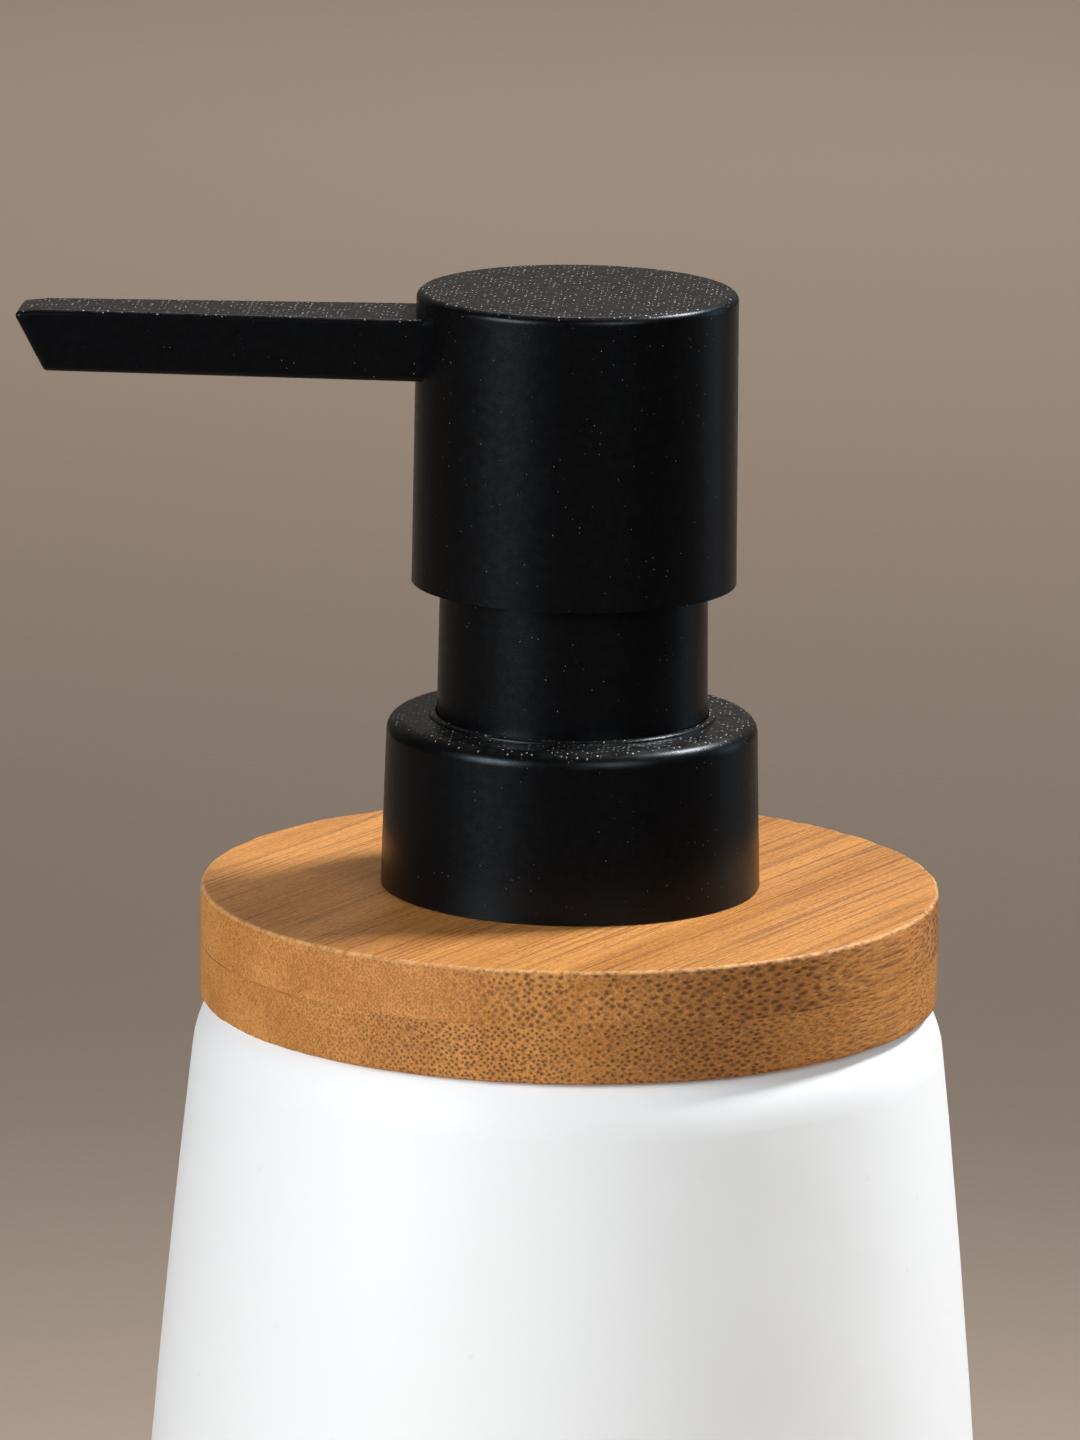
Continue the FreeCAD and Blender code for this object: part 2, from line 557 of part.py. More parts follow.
def check_and_write(folder):
    """Stop on any failed object, then write one file for each sub-part."""
    doc.recompute()
    for item in doc.Objects:
        if "Invalid" in item.State or "Error" in item.State:
            raise RuntimeError("%s failed: %s" % (item.Label, item.State))
    pieces = [item for item in doc.Objects if item.TypeId in ("PartDesign::Body", "Part::Sphere")]
    os.makedirs(folder, exist_ok=True)
    for piece in pieces:
        shape = piece.Shape
        if shape.isNull() or not shape.isValid() or not shape.Solids:
            raise RuntimeError("%s has no valid solid" % piece.Label)
    for piece in pieces:
        piece.Shape.exportStep(os.path.join(folder, piece.Label + ".step"))
        print("%-16s %9.1f mm3" % (piece.Label, piece.Shape.Volume))


doc = FreeCAD.newDocument("soap_pump_dispenser")
sheet = make_sheet(doc)
make_jar()
make_foot_pad()
make_lid()
make_neck()
make_pump_core()
make_closure()
make_piston()
make_stem()
make_head()
make_spout()
check_and_write("parts")
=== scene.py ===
"""Looks of the ceramic soap pump dispenser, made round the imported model.

Everything is in metres in the model's own frame: +Z is up, the origin is the centre of the foot and
the spout points along -X.  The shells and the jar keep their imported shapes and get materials; the two
bamboo plies and the return spring are replaced by finer meshes.
"""
import math

import bpy
from mathutils import Matrix, Vector, noise


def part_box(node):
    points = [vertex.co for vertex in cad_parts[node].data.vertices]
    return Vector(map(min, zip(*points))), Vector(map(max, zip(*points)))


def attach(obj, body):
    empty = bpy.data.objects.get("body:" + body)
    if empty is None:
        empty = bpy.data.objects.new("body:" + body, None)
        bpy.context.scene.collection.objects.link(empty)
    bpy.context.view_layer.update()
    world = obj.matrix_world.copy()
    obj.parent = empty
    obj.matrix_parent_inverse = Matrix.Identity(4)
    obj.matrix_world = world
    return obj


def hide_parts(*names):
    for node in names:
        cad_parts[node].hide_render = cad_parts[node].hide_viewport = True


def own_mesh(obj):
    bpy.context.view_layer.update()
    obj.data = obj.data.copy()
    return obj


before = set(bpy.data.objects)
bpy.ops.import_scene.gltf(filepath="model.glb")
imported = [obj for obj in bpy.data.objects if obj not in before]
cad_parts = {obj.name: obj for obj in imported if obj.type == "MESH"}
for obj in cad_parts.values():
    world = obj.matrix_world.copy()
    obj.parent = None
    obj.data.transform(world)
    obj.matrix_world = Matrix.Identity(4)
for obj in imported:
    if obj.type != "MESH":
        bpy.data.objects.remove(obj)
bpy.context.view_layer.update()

MM = 0.001
LID_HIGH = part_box("lid_upper_ply")[1]
LID_TOP = LID_HIGH.z
LID_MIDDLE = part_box("lid_upper_ply")[0].z
LID_RADIUS = LID_HIGH.x
GRAIN_ANGLE = math.radians(62)

# Camera: it stands in front of the lid's top, tilted down, and is aimed a little up and to the left of it.
# Its distance is in metres, its angles are in degrees, its lens and sensor in millimetres.
CAMERA_DISTANCE = 0.7734
CAMERA_AZIMUTH = 2.9
CAMERA_ELEVATION = 13.443
CAMERA_ROLL = 0.771
CAMERA_TURN_LEFT = 0.2024
CAMERA_TURN_UP = 1.0200
CAMERA_LENS = 227.5
SENSOR = 36.0

# Soft boxes aimed at the lid's top: name, (azimuth, elevation) in degrees, size in metres, watts, colour.
BOX_DISTANCE = 0.9
SOFT_BOXES = (
    ("window_left", (-48, 17), (0.42, 0.42), 0.77, (0.90, 0.955, 1.0)),
    ("window_front", (31, 26), (0.50, 0.50), 0.35, (0.93, 0.97, 1.0)),
    ("window_right", (117, 50), (0.20, 0.20), 0.97, (0.95, 0.975, 1.0)),
    ("edge_right", (117, 8), (0.34, 0.50), 0.062, (0.50, 0.78, 1.0)),
)

# Lights aimed at the floor round the object: name, azimuth in degrees, watts, the spot they light.
FLOOR_LIGHT_ELEVATION = 62
FLOOR_LIGHT_DISTANCE = 1.7
FLOOR_LIGHT_SIZE = (1.0, 1.0)
FLOOR_LIGHT_COLOUR = (1.0, 0.97, 0.93)
FLOOR_LIGHT_BEAM = 56
FLOOR_LIGHTS = (
    ("floor_behind", 180, 3.2, (0, 1.10, 0)),
    ("floor_before", 180, 1.2, (0, -1.20, 0)),
    ("floor_left", 90, 1.2, (-1.20, 0, 0)),
    ("floor_right", -90, 1.2, (1.20, 0, 0)),
)


class Nodes:
    """A short way to write a node material: each call adds a node and returns its output."""

    def __init__(self, name):
        self.material = bpy.data.materials.new(name)
        self.material.use_nodes = True
        self.tree = self.material.node_tree
        self.tree.nodes.clear()
        output = self.tree.nodes.new("ShaderNodeOutputMaterial")
        self.shader = self.tree.nodes.new("ShaderNodeBsdfPrincipled")
        self.tree.links.new(self.shader.outputs["BSDF"], output.inputs["Surface"])

    def plug(self, socket, value):
        """Link an output to a socket, or set the socket's own value."""
        if isinstance(value, bpy.types.NodeSocket):
            self.tree.links.new(value, socket)
        elif hasattr(value, "__len__") and len(value) == 3 and len(socket.default_value) == 4:
            socket.default_value = (*value, 1.0)
        else:
            socket.default_value = value

    def finish(self, **sockets):
        """Set the shader's sockets, with spaces in their names written as underscores."""
        for name, value in sockets.items():
            self.plug(self.shader.inputs[name.replace("_", " ")], value)
        return self.material

    def place(self, turn=0.0, stretch=(1, 1, 1), shift=(0, 0, 0)):
        """The object's own coordinates in millimetres, turned about Z, then stretched, then shifted."""
        coordinates = self.tree.nodes.new("ShaderNodeTexCoord").outputs["Object"]
        turned = self.tree.nodes.new("ShaderNodeMapping")
        turned.inputs["Rotation"].default_value = (0, 0, -turn)
        self.plug(turned.inputs["Vector"], coordinates)
        turned.inputs["Scale"].default_value = (1 / MM,) * 3
        stretched = self.tree.nodes.new("ShaderNodeMapping")
        stretched.inputs["Location"].default_value = shift
        stretched.inputs["Scale"].default_value = stretch
        self.plug(stretched.inputs["Vector"], turned.outputs["Vector"])
        return stretched.outputs["Vector"]

    def noise(self, vector, scale, detail=2.0, roughness=0.5):
        """Soft noise, about 0.5 on average, with so many bumps for each unit of the vector."""
        node = self.tree.nodes.new("ShaderNodeTexNoise")
        self.plug(node.inputs["Vector"], vector)
        node.inputs["Scale"].default_value = scale
        node.inputs["Detail"].default_value = detail
        node.inputs["Roughness"].default_value = roughness
        return node.outputs["Fac"]

    def cells(self, vector, scale, randomness=1.0, dimensions="3D"):
        """Distance to the nearest of many scattered points, and that point's own random colour."""
        node = self.tree.nodes.new("ShaderNodeTexVoronoi")
        node.voronoi_dimensions = dimensions
        self.plug(node.inputs["Vector"], vector)
        node.inputs["Scale"].default_value = scale
        node.inputs["Randomness"].default_value = randomness
        return node.outputs["Distance"], node.outputs["Color"]

    def math(self, operation, *values):
        """One step of arithmetic."""
        node = self.tree.nodes.new("ShaderNodeMath")
        node.operation = operation
        for socket, value in zip(node.inputs, values):
            self.plug(socket, value)
        return node.outputs[0]

    def product(self, first, *others):
        """All the values multiplied, in their order."""
        for other in others:
            first = self.math("MULTIPLY", first, other)
        return first

    def span(self, value, low, high, out_low=0.0, out_high=1.0, kind="SMOOTHSTEP"):
        """Map a range of values to another and hold it at both ends."""
        node = self.tree.nodes.new("ShaderNodeMapRange")
        node.interpolation_type = kind
        for name, number in (("Value", value), ("From Min", low), ("From Max", high),
                             ("To Min", out_low), ("To Max", out_high)):
            self.plug(node.inputs[name], number)
        return node.outputs["Result"]

    def between(self, share, first, second):
        """A number that goes evenly from the first to the second while the share goes from 0 to 1."""
        return self.span(share, 0.0, 1.0, first, second, "LINEAR")

    def blend(self, factor, first, second):
        """A colour: the first where the factor is 0, the second where it is 1."""
        node = self.tree.nodes.new("ShaderNodeMix")
        node.data_type = "RGBA"
        self.plug(node.inputs[0], factor)
        self.plug(node.inputs[6], first)
        self.plug(node.inputs[7], second)
        return node.outputs[2]

    def split(self, vector):
        """The three parts of a vector or colour."""
        node = self.tree.nodes.new("ShaderNodeSeparateXYZ")
        self.plug(node.inputs[0], vector)
        return node.outputs

    def join(self, x, y, z):
        """A vector from its three parts."""
        node = self.tree.nodes.new("ShaderNodeCombineXYZ")
        for socket, value in zip(node.inputs, (x, y, z)):
            self.plug(socket, value)
        return node.outputs[0]

    def length(self, vector):
        """The length of a vector."""
        node = self.tree.nodes.new("ShaderNodeVectorMath")
        node.operation = "LENGTH"
        self.plug(node.inputs[0], vector)
        return node.outputs["Value"]

    def upward(self):
        """How far the surface faces up, from the object's own normal."""
        normal = self.tree.nodes.new("ShaderNodeTexCoord").outputs["Normal"]
        return self.split(normal)[2]

    def bump(self, height, depth, under=None):
        """A bump from a 0 to 1 height, whose depth is in millimetres, on top of another if it is given."""
        node = self.tree.nodes.new("ShaderNodeBump")
        node.inputs["Strength"].default_value = 1.0
        node.inputs["Distance"].default_value = depth * MM
        self.plug(node.inputs["Height"], height)
        if under is not None:
            self.plug(node.inputs["Normal"], under)
        return node.outputs["Normal"]


def glaze():
    """Smooth matte white glaze, with the bare clay ring of the foot left unglazed."""
    n = Nodes("matte_white_glaze")
    bare_below, glazed_above = 0.9, 1.3
    here = n.place()
    cloud = n.noise(here, 0.035, 3)
    fine = n.noise(here, 1.6, 3, 0.6)
    dots = n.cells(here, 0.22)[0]
    speck = n.span(dots, 0.05, 0.075, 1.0, 0.0)
    colour = n.blend(cloud, (0.885, 0.882, 0.875), (0.915, 0.912, 0.906))
    colour = n.blend(n.product(speck, 0.16), colour, (0.66, 0.62, 0.56))
    bare = n.span(n.split(here)[2], bare_below, glazed_above, 1.0, 0.0)
    clay = n.blend(fine, (0.60, 0.55, 0.49), (0.70, 0.66, 0.60))
    colour = n.blend(bare, colour, clay)
    rough = n.span(fine, 0.3, 0.7, 0.42, 0.50)
    rough = n.math("MAXIMUM", rough, n.product(bare, 0.85))
    relief = n.bump(n.noise(here, 0.10, 2), 0.10)
    relief = n.bump(fine, 0.004, relief)
    return n.finish(Base_Color=colour, Roughness=rough, Normal=relief, Specular_IOR_Level=0.45)


def black_coat():
    """Satin black coating: near black, finely grained, with dust that settles where it faces up, and a pale
    film there that is partly dust and partly painted reflection.
    """
    n = Nodes("satin_black_coat")
    dust_and_sheen_tone, lone_fleck, settled_fleck = (0.82, 0.76, 0.70), (0.30, 0.29, 0.27), (0.58, 0.55, 0.51)
    here = n.place()
    grain = n.noise(here, 6.5, 2, 0.6)
    peel = n.noise(here, 1.4, 2)
    sparkle, tint = n.cells(here, 2.4, 1.0, "2D")
    dust, rarity = n.cells(here, 1.8)
    facing = n.span(n.upward(), 0.5, 0.95)
    settled = n.product(n.span(sparkle, 0.08, 0.25, 1.0, 0.0),
                        n.span(n.split(tint)[0], 0.60, 1.0), facing)
    fleck = n.product(n.span(dust, 0.03, 0.085, 1.0, 0.0), n.span(n.split(rarity)[0], 0.3, 1.0))
    # The pale film on upward faces is partly dust and partly a painted reflection of the paler wall behind.
    dust_and_sheen_film = n.product(facing, n.span(n.noise(here, 0.8, 3, 0.6), 0.3, 0.7, 0.005, 0.021))
    colour = n.blend(grain, (0.0010, 0.0010, 0.0013), (0.0022, 0.0022, 0.0027))
    colour = n.blend(dust_and_sheen_film, colour, dust_and_sheen_tone)
    colour = n.blend(fleck, colour, lone_fleck)
    colour = n.blend(settled, colour, settled_fleck)
    n.shader.inputs["Specular Tint"].default_value = (0.80, 0.92, 1.0, 1.0)
    rough = n.span(peel, 0.3, 0.7, 0.28, 0.33)
    relief = n.bump(peel, 0.006)
    relief = n.bump(grain, 0.0075, relief)
    return n.finish(Base_Color=colour, Roughness=rough, Normal=relief, Specular_IOR_Level=0.19)


def band(n, away, places, before):
    """1 between the two middle places, less before the first and 0.25 after the last."""
    return n.product(n.span(away, places[0], places[1], before, 1.0),
                     n.span(away, places[2], places[3], 1.0, 0.25))


def bamboo_fibres(n, seed, away, top, darkest):
    """The ply's colour with its fibres; also the hair and fuzz that make its relief."""
    pale, tan = (0.665, 0.290, 0.078), (0.565, 0.230, 0.055)
    scorched, lined, threaded = (0.235, 0.082, 0.020), (0.270, 0.098, 0.028), (0.150, 0.055, 0.017)
    dark_hair, dark_fuzz, pale_fuzz = (0.220, 0.078, 0.022), (0.210, 0.072, 0.019), (0.850, 0.440, 0.150)
    dark_zone = n.product(band(n, away, darkest, 0.0), n.between(top, 1.0, 0.12))
    cloud = n.noise(n.place(GRAIN_ANGLE, (0.010, 1, 1), (seed, seed * 2.3, seed)), 0.15, 3, 0.55)
    line = n.noise(n.place(GRAIN_ANGLE, (0.006, 1, 1), (0, seed, 0)), 2.0, 3, 0.65)
    hair = n.noise(n.place(GRAIN_ANGLE, (0.045, 1, 1), (0, 0, seed)), 7.0, 3, 0.7)
    fuzz = n.noise(n.place(GRAIN_ANGLE, (0.35, 1, 1), (seed, 0, 0)), 4.5, 3, 0.7)
    thread = n.noise(n.place(GRAIN_ANGLE, (0.010, 1, 0.3), (seed * 5, 0, seed)), 3.2, 2, 0.5)
    thread = n.product(n.span(thread, 0.545, 0.630), n.between(top, 0.14, 0.50))
    colour = n.blend(n.span(cloud, 0.38, 0.62), pale, tan)
    colour = n.blend(n.product(dark_zone, 0.60), colour, scorched)
    colour = n.blend(n.span(line, 0.51, 0.66, 0.0, 0.32), colour, lined)
    colour = n.blend(thread, colour, threaded)
    colour = n.blend(n.span(hair, 0.50, 0.68, 0.0, 0.50), colour, dark_hair)
    colour = n.blend(n.span(fuzz, 0.51, 0.68, 0.0, 0.50), colour, dark_fuzz)
    colour = n.blend(n.span(fuzz, 0.30, 0.48, 0.34, 0.0), colour, pale_fuzz)
    return colour, hair, fuzz


def bamboo_bundles(n, colour, seed, pitch, coarse, plain, away, top):
    """Add the ends of the vessel bundles, fine and coarse; also how deep the coarse ones sink."""
    fine_tone, coarse_tone = (0.150, 0.054, 0.018), (0.060, 0.022, 0.009)
    along, across, up = n.split(plain)
    drift = n.place(GRAIN_ANGLE, (0.02, 0.12, 0.12), (seed * 3.7, seed, seed * 1.9))
    sway = n.between(n.noise(drift, 1.0, 2), -0.35, 0.35)
    east, high = n.math("ADD", across, sway), n.math("ADD", up, sway)
    lattice = n.join(n.math("ADD", east, high), n.math("SUBTRACT", east, high), 0.0)
    bundle, tint = n.cells(lattice, 0.71 / pitch, 0.62, "2D")
    fine_bundle, fine_tint = n.cells(lattice, 1.25 / pitch, 0.70, "2D")
    shade, twin = n.split(tint)[0], n.split(tint)[1]
    fine_shade, fine_twin = n.split(fine_tint)[0], n.split(fine_tint)[1]
    fade = n.noise(n.join(n.product(along, 0.25), shade, twin), 1.0, 2)
    fine_fade = n.noise(n.join(n.product(along, 0.45), fine_shade, fine_twin), 1.0, 2)
    dot = n.product(n.span(bundle, 0.08, n.between(shade, 0.38, 0.60), 1.0, 0.0),
                    n.span(fade, 0.32, 0.52, 0.35, 1.0))
    fine_dot = n.product(n.span(fine_bundle, 0.05, 0.46, 1.0, 0.0),
                         n.span(fine_fade, 0.34, 0.56, 0.15, 1.0))
    shown = n.product(band(n, away, coarse, 0.05), n.between(top, 1.0, 0.22))
    grazing = n.product(n.span(away, 27.5, 30.0), n.between(top, 0.36, 0.0))
    fine_share = n.math("ADD", n.between(top, 0.42, 0.22), grazing)
    colour = n.blend(n.product(fine_dot, fine_share), colour, fine_tone)
    colour = n.blend(n.product(dot, n.product(shown, 0.78)), colour, coarse_tone)
    return colour, n.product(dot, shown)


def bamboo_edges(n, colour, plain, away):
    """Add the pale worn rim of the lid's top edge and the broken glue line between the plies."""
    worn_tone, glue_tone = (0.80, 0.48, 0.22), (0.090, 0.036, 0.016)
    up = n.split(plain)[2]
    radius = n.length(n.place(0, (1, 1, 0)))
    rim = n.product(n.span(radius, LID_RADIUS / MM - 0.38, LID_RADIUS / MM - 0.16),
                    n.span(up, LID_TOP / MM - 0.36, LID_TOP / MM - 0.16),
                    n.span(n.noise(plain, 1.3, 3, 0.7), 0.38, 0.66, 0.10, 0.62))
    colour = n.blend(rim, colour, worn_tone)
    seam = n.math("ABSOLUTE", n.math("SUBTRACT", up, LID_MIDDLE / MM))
    glue = n.product(n.span(seam, 0.02, 0.10, 0.6, 0.0), n.span(away, -14.0, 2.0, 0.9, 0.10),
                     n.span(n.noise(plain, 0.35, 2), 0.35, 0.60, 0.15, 1.0))
    return n.blend(glue, colour, glue_tone)


def bamboo(name, seed, pitch, coarse, darkest):
    """Carbonised bamboo ply: bundles of vessels run along the grain.

    They show as dots on the end grain, as streaks where the side runs with the grain, and as fine lines
    on the top.  Places are millimetres across the grain: the coarse bundles fade in over the first two
    and out over the last two, and the ply darkens over the first two and lightens over the last two.
    """
    n = Nodes(name)
    plain = n.place(GRAIN_ANGLE)
    away = n.product(n.split(plain)[1], -1.0)
    top = n.span(n.upward(), 0.5, 0.9)
    colour, hair, fuzz = bamboo_fibres(n, seed, away, top, darkest)
    colour, sunk = bamboo_bundles(n, colour, seed, pitch, coarse, plain, away, top)
    colour = bamboo_edges(n, colour, plain, away)
    rough = n.span(hair, 0.3, 0.7, 0.46, 0.60)
    relief = n.bump(n.math("SUBTRACT", 1.0, sunk), 0.030)
    relief = n.bump(n.math("SUBTRACT", 1.0, hair), 0.022, relief)
    relief = n.bump(fuzz, 0.016, relief)
    return n.finish(Base_Color=colour, Roughness=rough, Normal=relief, Specular_IOR_Level=0.22)


def plastic(name, low, high, roughness, grain=2.0, depth=0.004, sub=0.0):
    """Moulded plastic with a faint cloud in its colour and a fine moulded grain.

    Low and high are its two shades, depth is the grain's in millimetres and sub is how far it glows inside.
    """
    n = Nodes(name)
    here = n.place()
    cloud = n.noise(here, 0.25, 3)
    fine = n.noise(here, grain, 3, 0.6)
    rough = n.span(fine, 0.3, 0.7, roughness - 0.05, roughness + 0.05)
    n.shader.inputs["Subsurface Weight"].default_value = sub
    n.shader.inputs["Subsurface Radius"].default_value = (0.0015, 0.0015, 0.0015)
    return n.finish(Base_Color=n.blend(cloud, low, high), Roughness=rough, Normal=n.bump(fine, depth))


def steel(name, stretch):
    """Bright stainless steel with fine drawn or turned lines."""
    n = Nodes(name)
    line = n.noise(n.place(0, stretch), 6.0, 3, 0.6)
    cloud = n.noise(n.place(), 0.5, 2)
    colour = n.blend(cloud, (0.56, 0.55, 0.53), (0.70, 0.69, 0.67))
    return n.finish(Base_Color=colour, Metallic=1.0, Roughness=n.span(line, 0.3, 0.7, 0.18, 0.32),
                    Normal=n.bump(line, 0.002))


def floor_finish():
    """Plain pale floor with the faintest mottle."""
    n = Nodes("pale_floor")
    cloud = n.noise(n.place(), 0.004, 3)
    fine = n.noise(n.place(), 0.6, 3)
    colour = n.blend(cloud, (0.445, 0.350, 0.280), (0.475, 0.375, 0.300))
    return n.finish(Base_Color=colour, Roughness=n.span(fine, 0.3, 0.7, 0.70, 0.80), Specular_IOR_Level=0.2)


def paint(material, *names):
    """Give a material to CAD nodes or pieces."""
    for name in names:
        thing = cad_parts.get(name) or bpy.data.objects[name]
        thing.data.materials.clear()
        thing.data.materials.append(material)


def make_materials():
    """Paint every CAD node and every piece."""
    paint(glaze(), "ceramic_body")
    paint(black_coat(), "collar_shell", "guide_sleeve", "head_shell", "spout")
    paint(bamboo("bamboo_upper", 3.0, 0.55, (4, 15, 29.4, 31.2), (14, 27, 29.2, 30.8)),
          "worn_upper_ply", "lid_upper_ply")
    paint(bamboo("bamboo_lower", 11.0, 0.43, (-16, 8, 27.0, 30.0), (12, 24, 24.0, 30.5)),
          "worn_lower_ply", "lid_lower_ply")
    paint(bamboo("bamboo_plug", 23.0, 0.55, (-12, 6, 20.0, 24.0), (0, 12, 16.0, 24.0)), "lid_plug")
    paint(plastic("foot_foam", (0.055, 0.055, 0.055), (0.085, 0.085, 0.085), 0.85, 3.0, 0.05), "base_pad")
    paint(plastic("silicone", (0.62, 0.62, 0.60), (0.70, 0.70, 0.68), 0.45, 1.0, 0.003, 0.3), "lid_gasket")
    paint(plastic("white_plastic", (0.74, 0.74, 0.72), (0.80, 0.80, 0.78), 0.38, 2.0, 0.004, 0.1),
          "neck_bush", "ball_cage", "valve_core", "stem")
    paint(plastic("washer_foam", (0.72, 0.72, 0.71), (0.80, 0.80, 0.79), 0.8, 3.0, 0.03), "neck_washer")
    paint(plastic("natural_plastic", (0.66, 0.67, 0.65), (0.74, 0.75, 0.73), 0.28, 1.5, 0.003, 0.35),
          "pump_housing", "dip_tube", "piston_seal")
    paint(plastic("black_plastic", (0.012, 0.012, 0.013), (0.020, 0.020, 0.021), 0.5, 2.5, 0.006),
          "stem_guide", "collar_insert", "head_core", "spout_liner")
    paint(steel("ball_steel", (1, 1, 1)), "inlet_ball", "outlet_ball")
    paint(steel("spring_wire", (1, 1, 6)), "wound_spring", "return_spring")


def add_piece(name, vertices, faces, body, node):
    """A mesh piece, in metres, that rides a body and takes the place of a CAD node."""
    mesh = bpy.data.meshes.new(name)
    mesh.from_pydata(vertices, [], faces)
    mesh.shade_smooth()
    mesh.set_sharp_from_angle(angle=math.radians(40))
    piece = bpy.data.objects.new(name, mesh)
    bpy.context.scene.collection.objects.link(piece)
    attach(piece, body)
    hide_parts(node)
    return piece


def ring_faces(rings, around, closed=True):
    """Quads between each ring of points and the next, and from the last ring back to the first."""
    faces = []
    for ring in range(rings if closed else rings - 1):
        following = (ring + 1) % rings
        for spot in range(around):
            beside = (spot + 1) % around
            faces.append((ring * around + spot, ring * around + beside,
                          following * around + beside, following * around + spot))
    return faces


def steps(first, last, count):
    """Evenly spaced numbers from first up to but not including last."""
    return [first + (last - first) * i / count for i in range(count)]


def ply_outline(hole, outer, bottom, top, bottom_edge, top_edge):
    """The section of a ply as (radius, height) points: bottom, rounded outer edges, side, top, hole.

    The points stand closer on the band of the flats and of the side that lies next to the outer edges.
    """
    flat_band, side_band = 1.2, 0.8
    quarter = steps(0, math.pi / 2, 5)
    outline = [(r, bottom) for r in steps(hole, outer - flat_band, 4)
               + steps(outer - flat_band, outer - bottom_edge, 4)]
    outline += [(outer - bottom_edge + bottom_edge * math.sin(a),
                 bottom + bottom_edge - bottom_edge * math.cos(a)) for a in quarter]
    outline += [(outer, z) for z in steps(bottom + bottom_edge, bottom + side_band, 3)
                + steps(bottom + side_band, top - side_band, 8)
                + steps(top - side_band, top - top_edge, 4)]
    outline += [(outer - top_edge + top_edge * math.cos(a),
                 top - top_edge + top_edge * math.sin(a)) for a in quarter]
    outline += [(r, top) for r in steps(outer - top_edge, outer - flat_band, 4)
                + steps(outer - flat_band, hole, 5)]
    outline += [(hole, z) for z in steps(top, bottom, 3)]
    return outline


def worn_ply(name, node, round_edge, wear, seed):
    """A bamboo ring like the CAD node's, whose outer edge at the given height is worn uneven.

    round_edge is "top" or "bottom".  Sizes are millimetres, and the wear only takes material off.
    """
    round_radius, crisp_radius = 0.25, 0.02
    wear_reach, wear_height_share = 0.75, 0.8
    slow_waves, quick_waves, chip_waves, chip_rarity = 9, 52, 24, 0.32
    around = 960
    low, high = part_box(node)
    hole = min(math.hypot(v.co.x, v.co.y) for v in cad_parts[node].data.vertices) / MM
    outer, bottom, top = high.x / MM, low.z / MM, high.z / MM
    at_top = round_edge == "top"
    bottom_edge, top_edge = (crisp_radius, round_radius) if at_top else (round_radius, crisp_radius)
    outline = ply_outline(hole, outer, bottom, top, bottom_edge, top_edge)
    corner_height, inward = (top, -1) if at_top else (bottom, 1)
    vertices = []
    for radius, height in outline:
        reach = math.hypot(outer - radius, height - corner_height)
        share = max(0.0, 1 - reach / wear_reach) ** 2
        for spot in range(around):
            angle = 2 * math.pi * spot / around
            x, y = math.cos(angle), math.sin(angle)
            slow = noise.noise(Vector((x * slow_waves + seed, y * slow_waves, 0)))
            quick = noise.noise(Vector((x * quick_waves, y * quick_waves + seed, 3)))
            chip = max(0.0, noise.noise(Vector((x * chip_waves, y * chip_waves, seed))) - chip_rarity)
            off = wear * share * max(0.0, 0.55 + 0.6 * slow + 0.5 * quick + 3.0 * chip)
            r = radius - off
            vertices.append((r * x * MM, r * y * MM, (height + inward * off * wear_height_share) * MM))
    add_piece(name, vertices, ring_faces(len(outline), around), "lid", node)


def wound_spring():
    """The return spring with its end coils closed, at the length of the CAD node; the mesh itself does not
    shorten as the head goes down.
    """
    low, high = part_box("return_spring")
    wire = 0.5 * MM
    middle = high.x - wire
    start, end = low.z + wire, high.z - wire
    dead, active = 1.0, 7.0
    turns = dead + active + dead
    rise = (end - start - 2 * dead * 2 * wire) / active
    per_turn, section = 40, 14
    rings = int(turns * per_turn) + 1
    vertices = []
    for ring in range(rings):
        turn = ring / per_turn
        height = start + 2 * wire * min(turn, dead)
        height += rise * min(max(turn - dead, 0), active) + 2 * wire * max(turn - dead - active, 0)
        slope = rise if dead < turn < dead + active else 2 * wire
        angle = 2 * math.pi * turn
        out = Vector((math.cos(angle), math.sin(angle), 0))
        along = Vector((-math.sin(angle), math.cos(angle), slope / (2 * math.pi * middle))).normalized()
        side = along.cross(out)
        centre = out * middle + Vector((0, 0, height))
        for spot in range(section):
            a = 2 * math.pi * spot / section
            point = centre + out * (wire * math.cos(a)) + side * (wire * math.sin(a))
            point.z = min(max(point.z, low.z), high.z)
            vertices.append(tuple(point))
    faces = ring_faces(rings, section, closed=False)
    faces += [tuple(range(section))[::-1], tuple(range((rings - 1) * section, rings * section))]
    spring = add_piece("wound_spring", vertices, faces, "pump_core", "return_spring")
    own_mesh(spring)


def towards(azimuth, elevation):
    """The direction from the object to a camera or light at these angles, in radians."""
    return Vector((math.sin(azimuth) * math.cos(elevation),
                   -math.cos(azimuth) * math.cos(elevation), math.sin(elevation)))


def make_camera():
    """A long lens at the height of the view, aimed a little up and left of the lid's top."""
    azimuth, elevation = math.radians(CAMERA_AZIMUTH), math.radians(CAMERA_ELEVATION)
    back = towards(azimuth, elevation)
    right = Vector((math.cos(azimuth), math.sin(azimuth), 0))
    up = back.cross(right)
    left_turn, up_turn = math.radians(CAMERA_TURN_LEFT), math.radians(CAMERA_TURN_UP)
    ahead = (-back * math.cos(left_turn) * math.cos(up_turn)
             - right * math.sin(left_turn) * math.cos(up_turn) + up * math.sin(up_turn))
    side = ahead.cross(up).normalized()
    top = side.cross(ahead)
    roll = math.radians(CAMERA_ROLL)
    across = side * math.cos(roll) + top * math.sin(roll)
    upward = top * math.cos(roll) - side * math.sin(roll)
    data = bpy.data.cameras.new("camera")
    data.lens = CAMERA_LENS
    data.sensor_width = SENSOR
    data.dof.use_dof = False
    data.clip_start, data.clip_end = 0.01, 50
    camera = bpy.data.objects.new("camera", data)
    bpy.context.scene.collection.objects.link(camera)
    matrix = Matrix((across, upward, -ahead)).transposed().to_4x4()
    matrix.translation = Vector((0, 0, LID_TOP)) + back * CAMERA_DISTANCE
    camera.matrix_world = matrix
    bpy.context.scene.camera = camera


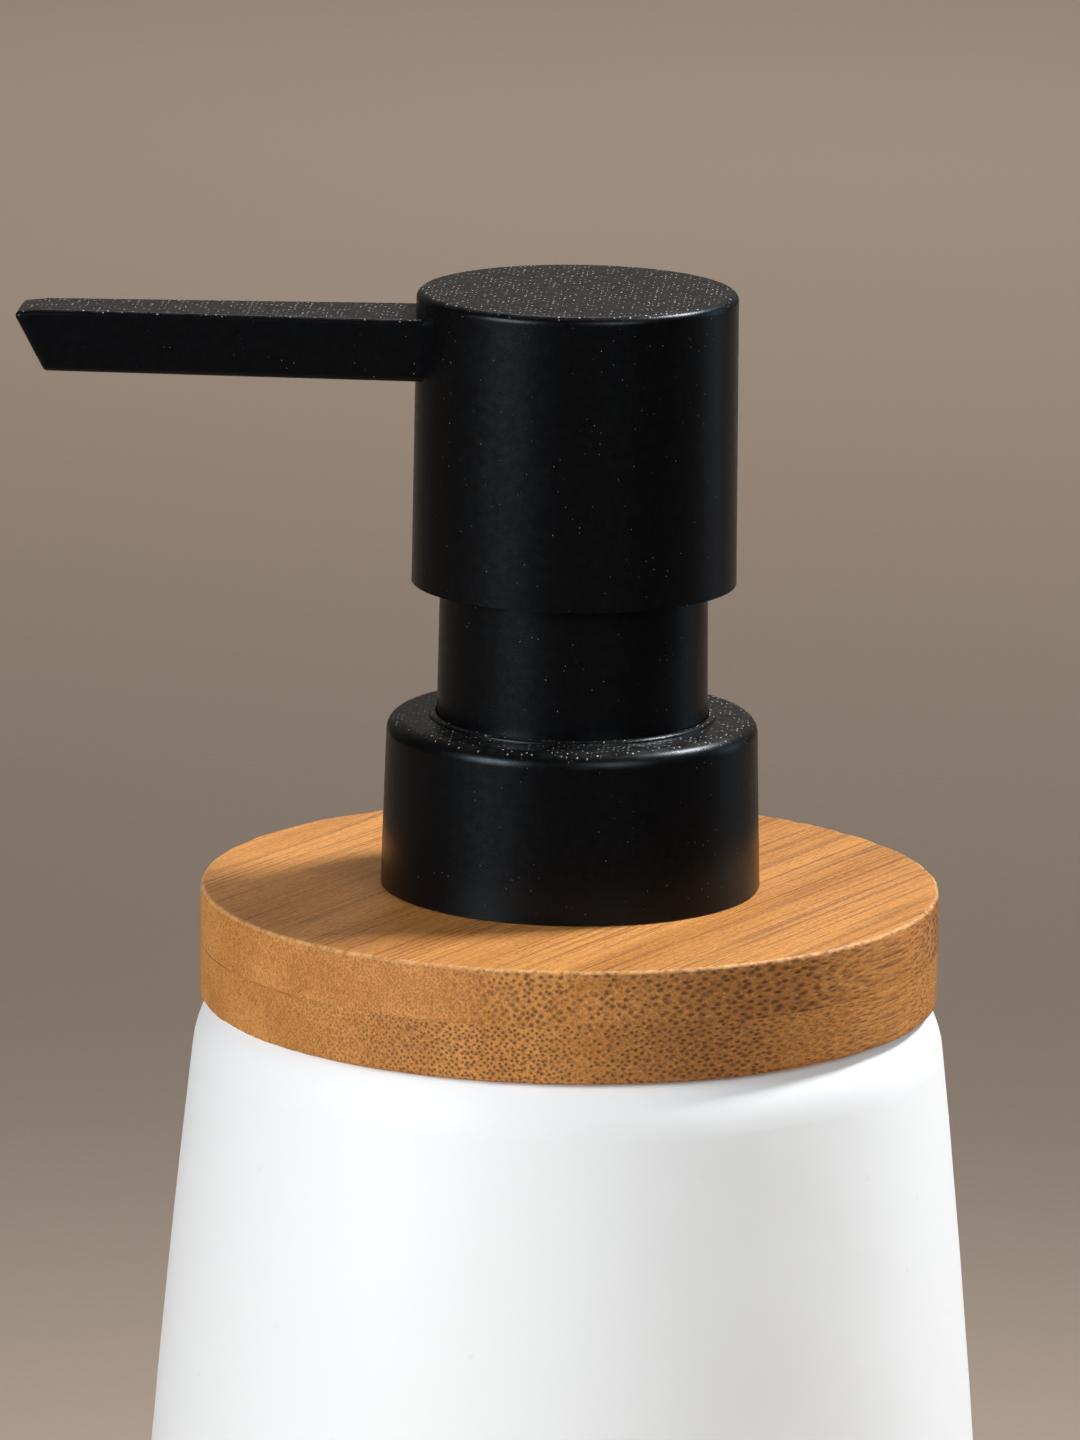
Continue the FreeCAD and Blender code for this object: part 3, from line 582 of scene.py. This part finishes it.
def make_light(name, angles, distance, size, power, colour, target=(0, 0, LID_TOP), beam=50):
    """A soft box with a grid that narrows its beam to the given degrees.

    Its azimuth counts like the camera's, and it stands at the distance from the target, turned to it.
    """
    away = towards(*(math.radians(angle) for angle in angles))
    data = bpy.data.lights.new(name, "AREA")
    data.shape = "RECTANGLE"
    data.size, data.size_y = size
    data.energy = power
    data.color = colour
    data.spread = math.radians(beam)
    light = bpy.data.objects.new(name, data)
    bpy.context.scene.collection.objects.link(light)
    light.location = Vector(target) + away * distance
    light.rotation_euler = away.to_track_quat("Z", "Y").to_euler()


def make_world():
    """A dim room whose far side, behind the object, is a warmer and paler wall."""
    room_colour, wall_colour = (0.020, 0.018, 0.016, 1), (0.150, 0.132, 0.118, 1)
    wall_starts, wall_full = 0.3, 0.95
    world = bpy.data.worlds.new("studio")
    bpy.context.scene.world = world
    world.use_nodes = True
    tree = world.node_tree
    place = tree.nodes.new("ShaderNodeTexCoord")
    parts = tree.nodes.new("ShaderNodeSeparateXYZ")
    depth = tree.nodes.new("ShaderNodeMapRange")
    depth.interpolation_type = "SMOOTHSTEP"
    depth.inputs["From Min"].default_value = wall_starts
    depth.inputs["From Max"].default_value = wall_full
    wall = tree.nodes.new("ShaderNodeMix")
    wall.data_type = "RGBA"
    wall.inputs[6].default_value = room_colour
    wall.inputs[7].default_value = wall_colour
    tree.links.new(place.outputs["Generated"], parts.inputs[0])
    tree.links.new(parts.outputs["Y"], depth.inputs["Value"])
    tree.links.new(depth.outputs["Result"], wall.inputs[0])
    tree.links.new(wall.outputs[2], tree.nodes["Background"].inputs["Color"])


def make_stage():
    """A plain pale floor, a dim room, soft boxes round the object and lights for the floor."""
    mesh = bpy.data.meshes.new("floor")
    half = 6.0
    mesh.from_pydata([(-half, -half, 0), (half, -half, 0), (half, half, 0), (-half, half, 0)], [],
                     [(0, 1, 2, 3)])
    floor = bpy.data.objects.new("floor", mesh)
    bpy.context.scene.collection.objects.link(floor)
    mesh.materials.append(floor_finish())
    make_world()
    for name, angles, size, power, colour in SOFT_BOXES:
        make_light(name, angles, BOX_DISTANCE, size, power, colour)
    for name, azimuth, power, spot in FLOOR_LIGHTS:
        make_light(name, (azimuth, FLOOR_LIGHT_ELEVATION), FLOOR_LIGHT_DISTANCE, FLOOR_LIGHT_SIZE, power,
                   FLOOR_LIGHT_COLOUR, spot, FLOOR_LIGHT_BEAM)


bpy.context.scene.view_settings.view_transform = "Standard"
make_camera()
make_stage()
worn_ply("worn_upper_ply", "lid_upper_ply", "top", 0.12, 2.0)
worn_ply("worn_lower_ply", "lid_lower_ply", "bottom", 0.10, 7.0)
wound_spring()
make_materials()
